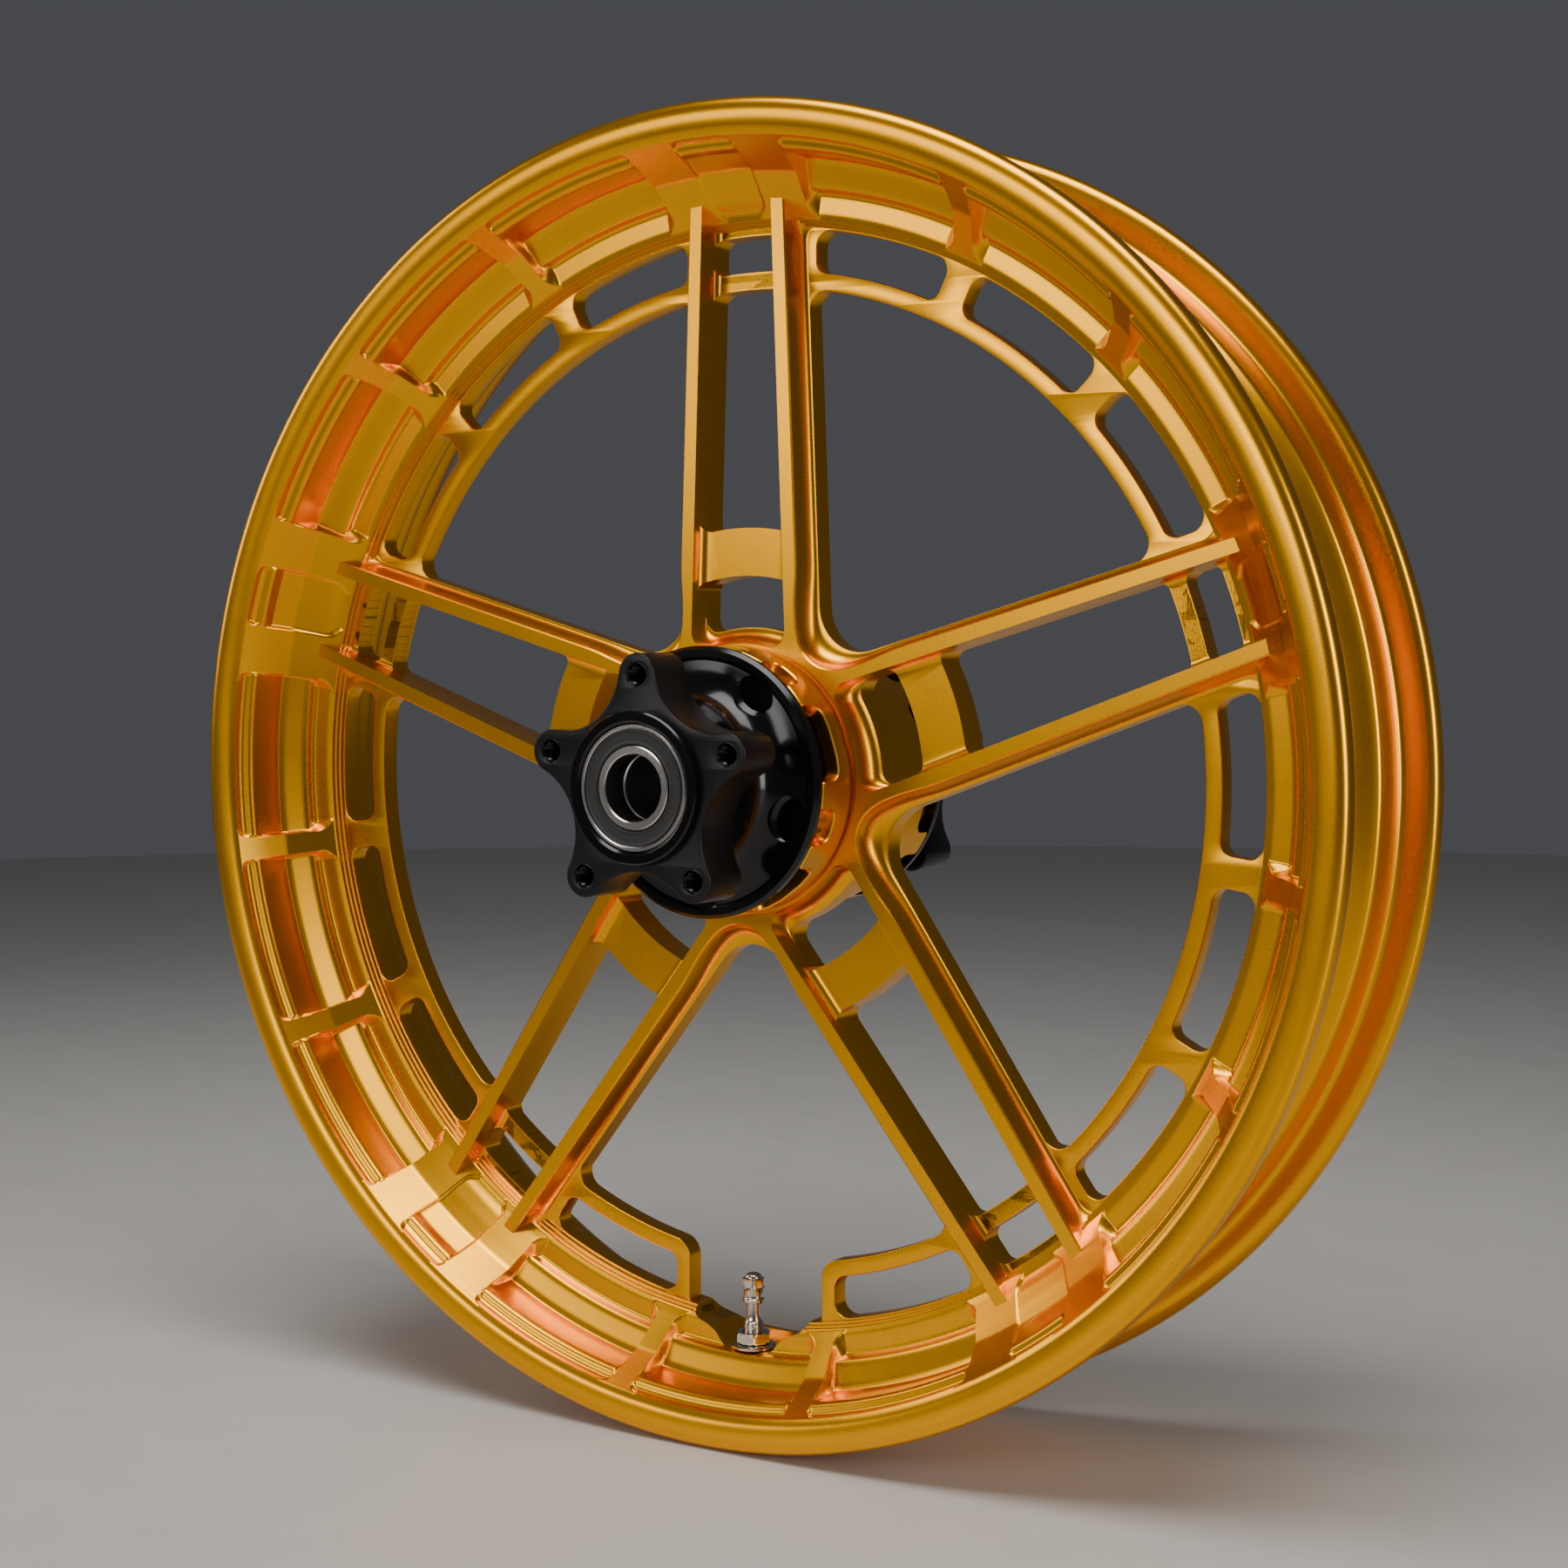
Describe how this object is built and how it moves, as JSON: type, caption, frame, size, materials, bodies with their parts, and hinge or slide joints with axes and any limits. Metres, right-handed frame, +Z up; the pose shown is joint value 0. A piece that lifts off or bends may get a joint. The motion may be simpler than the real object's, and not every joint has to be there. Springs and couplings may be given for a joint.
{
  "type": "motorcycle front wheel",
  "caption": "Forged motorcycle front wheel: twin-bar spokes, pocketed rim with inner lattice ring, pinned star hubs, sealed ball bearings and a tubeless valve.",
  "frame": {"origin": "wheel centre: on the spin axis, midway between the rim flanges", "axes": "+Y along the spin axis, -Y is the show face that the spokes lie nearer to; +Z up; the valve is at -Z"},
  "size_m": [0.511, 0.1874, 0.511],
  "materials": {
    "gold_anodised": "satin gold anodised over fine bead-blasted and machined faces",
    "black_anodised": "satin black anodised",
    "bearing_steel": "ground, fine turning marks",
    "cage_brass": "satin",
    "seal_rubber": "matte",
    "spacer_alloy": "machined",
    "pin_steel": "hardened and ground",
    "valve_nickel": "nickel plated"
  },
  "bodies": {
    "axle_group": {"axle_spacer": "spacer_alloy", "bearing_left_inner_race": "bearing_steel", "bearing_right_inner_race": "bearing_steel"},
    "wheel": {"rim_sector_126": "gold_anodised", "rim_sector_198": "gold_anodised", "rim_sector_270": "gold_anodised", "rim_sector_342": "gold_anodised", "rim_sector_54": "gold_anodised", "spoke_pair_90": "gold_anodised", "spoke_pair_162": "gold_anodised", "spoke_pair_234": "gold_anodised", "spoke_pair_306": "gold_anodised", "spoke_pair_18": "gold_anodised", "wheel_centre": "gold_anodised", "hub_left": "black_anodised", "hub_right": "black_anodised", "hub_pin_left_1": "pin_steel", "hub_pin_left_2": "pin_steel", "hub_pin_left_3": "pin_steel", "hub_pin_left_4": "pin_steel", "hub_pin_left_5": "pin_steel", "hub_pin_right_1": "pin_steel", "hub_pin_right_2": "pin_steel", "hub_pin_right_3": "pin_steel", "hub_pin_right_4": "pin_steel", "hub_pin_right_5": "pin_steel", "bearing_left_outer_race": "bearing_steel", "bearing_left_seal_outer": "seal_rubber", "bearing_left_seal_inner": "seal_rubber", "bearing_right_outer_race": "bearing_steel", "bearing_right_seal_outer": "seal_rubber", "bearing_right_seal_inner": "seal_rubber", "valve_stem": "valve_nickel", "valve_seal": "seal_rubber", "valve_washer": "valve_nickel", "valve_nut": "valve_nickel"},
    "cage_left": {"bearing_left_cage": "cage_brass", "bearing_left_ball_01": "bearing_steel", "bearing_left_ball_02": "bearing_steel", "bearing_left_ball_03": "bearing_steel", "bearing_left_ball_04": "bearing_steel", "bearing_left_ball_05": "bearing_steel", "bearing_left_ball_06": "bearing_steel", "bearing_left_ball_07": "bearing_steel", "bearing_left_ball_08": "bearing_steel", "bearing_left_ball_09": "bearing_steel", "bearing_left_ball_10": "bearing_steel"},
    "cage_right": {"bearing_right_cage": "cage_brass", "bearing_right_ball_01": "bearing_steel", "bearing_right_ball_02": "bearing_steel", "bearing_right_ball_03": "bearing_steel", "bearing_right_ball_04": "bearing_steel", "bearing_right_ball_05": "bearing_steel", "bearing_right_ball_06": "bearing_steel", "bearing_right_ball_07": "bearing_steel", "bearing_right_ball_08": "bearing_steel", "bearing_right_ball_09": "bearing_steel", "bearing_right_ball_10": "bearing_steel"},
    "valve_cap": {"valve_cap": "valve_nickel"},
    "valve_core": {"valve_core": "valve_nickel"}
  },
  "joints": [
    {"name": "wheel_spin", "type": "hinge", "parent": "axle_group", "child": "wheel", "pos_m": [0, 0, 0], "axis": [0, 1, 0], "continuous": true},
    {"name": "left_cage_spin", "type": "hinge", "parent": "axle_group", "child": "cage_left", "pos_m": [0, -0.087, 0], "axis": [0, 1, 0], "continuous": true},
    {"name": "right_cage_spin", "type": "hinge", "parent": "axle_group", "child": "cage_right", "pos_m": [0, 0.087, 0], "axis": [0, 1, 0], "continuous": true},
    {"name": "valve_cap_turn", "type": "hinge", "parent": "wheel", "child": "valve_cap", "pos_m": [0, -0.013, -0.2], "axis": [0, 0, 1], "range_deg": [0, 1440]},
    {"name": "valve_core_press", "type": "slide", "parent": "wheel", "child": "valve_core", "axis": [0, 0, -1], "range_m": [0, 0.0012], "stiffness_N_per_m": 300}
  ],
  "couplings": [
    {"joint": "left_cage_spin", "follows": "wheel_spin", "ratio": 0.5861},
    {"joint": "right_cage_spin", "follows": "wheel_spin", "ratio": 0.5861}
  ]
}
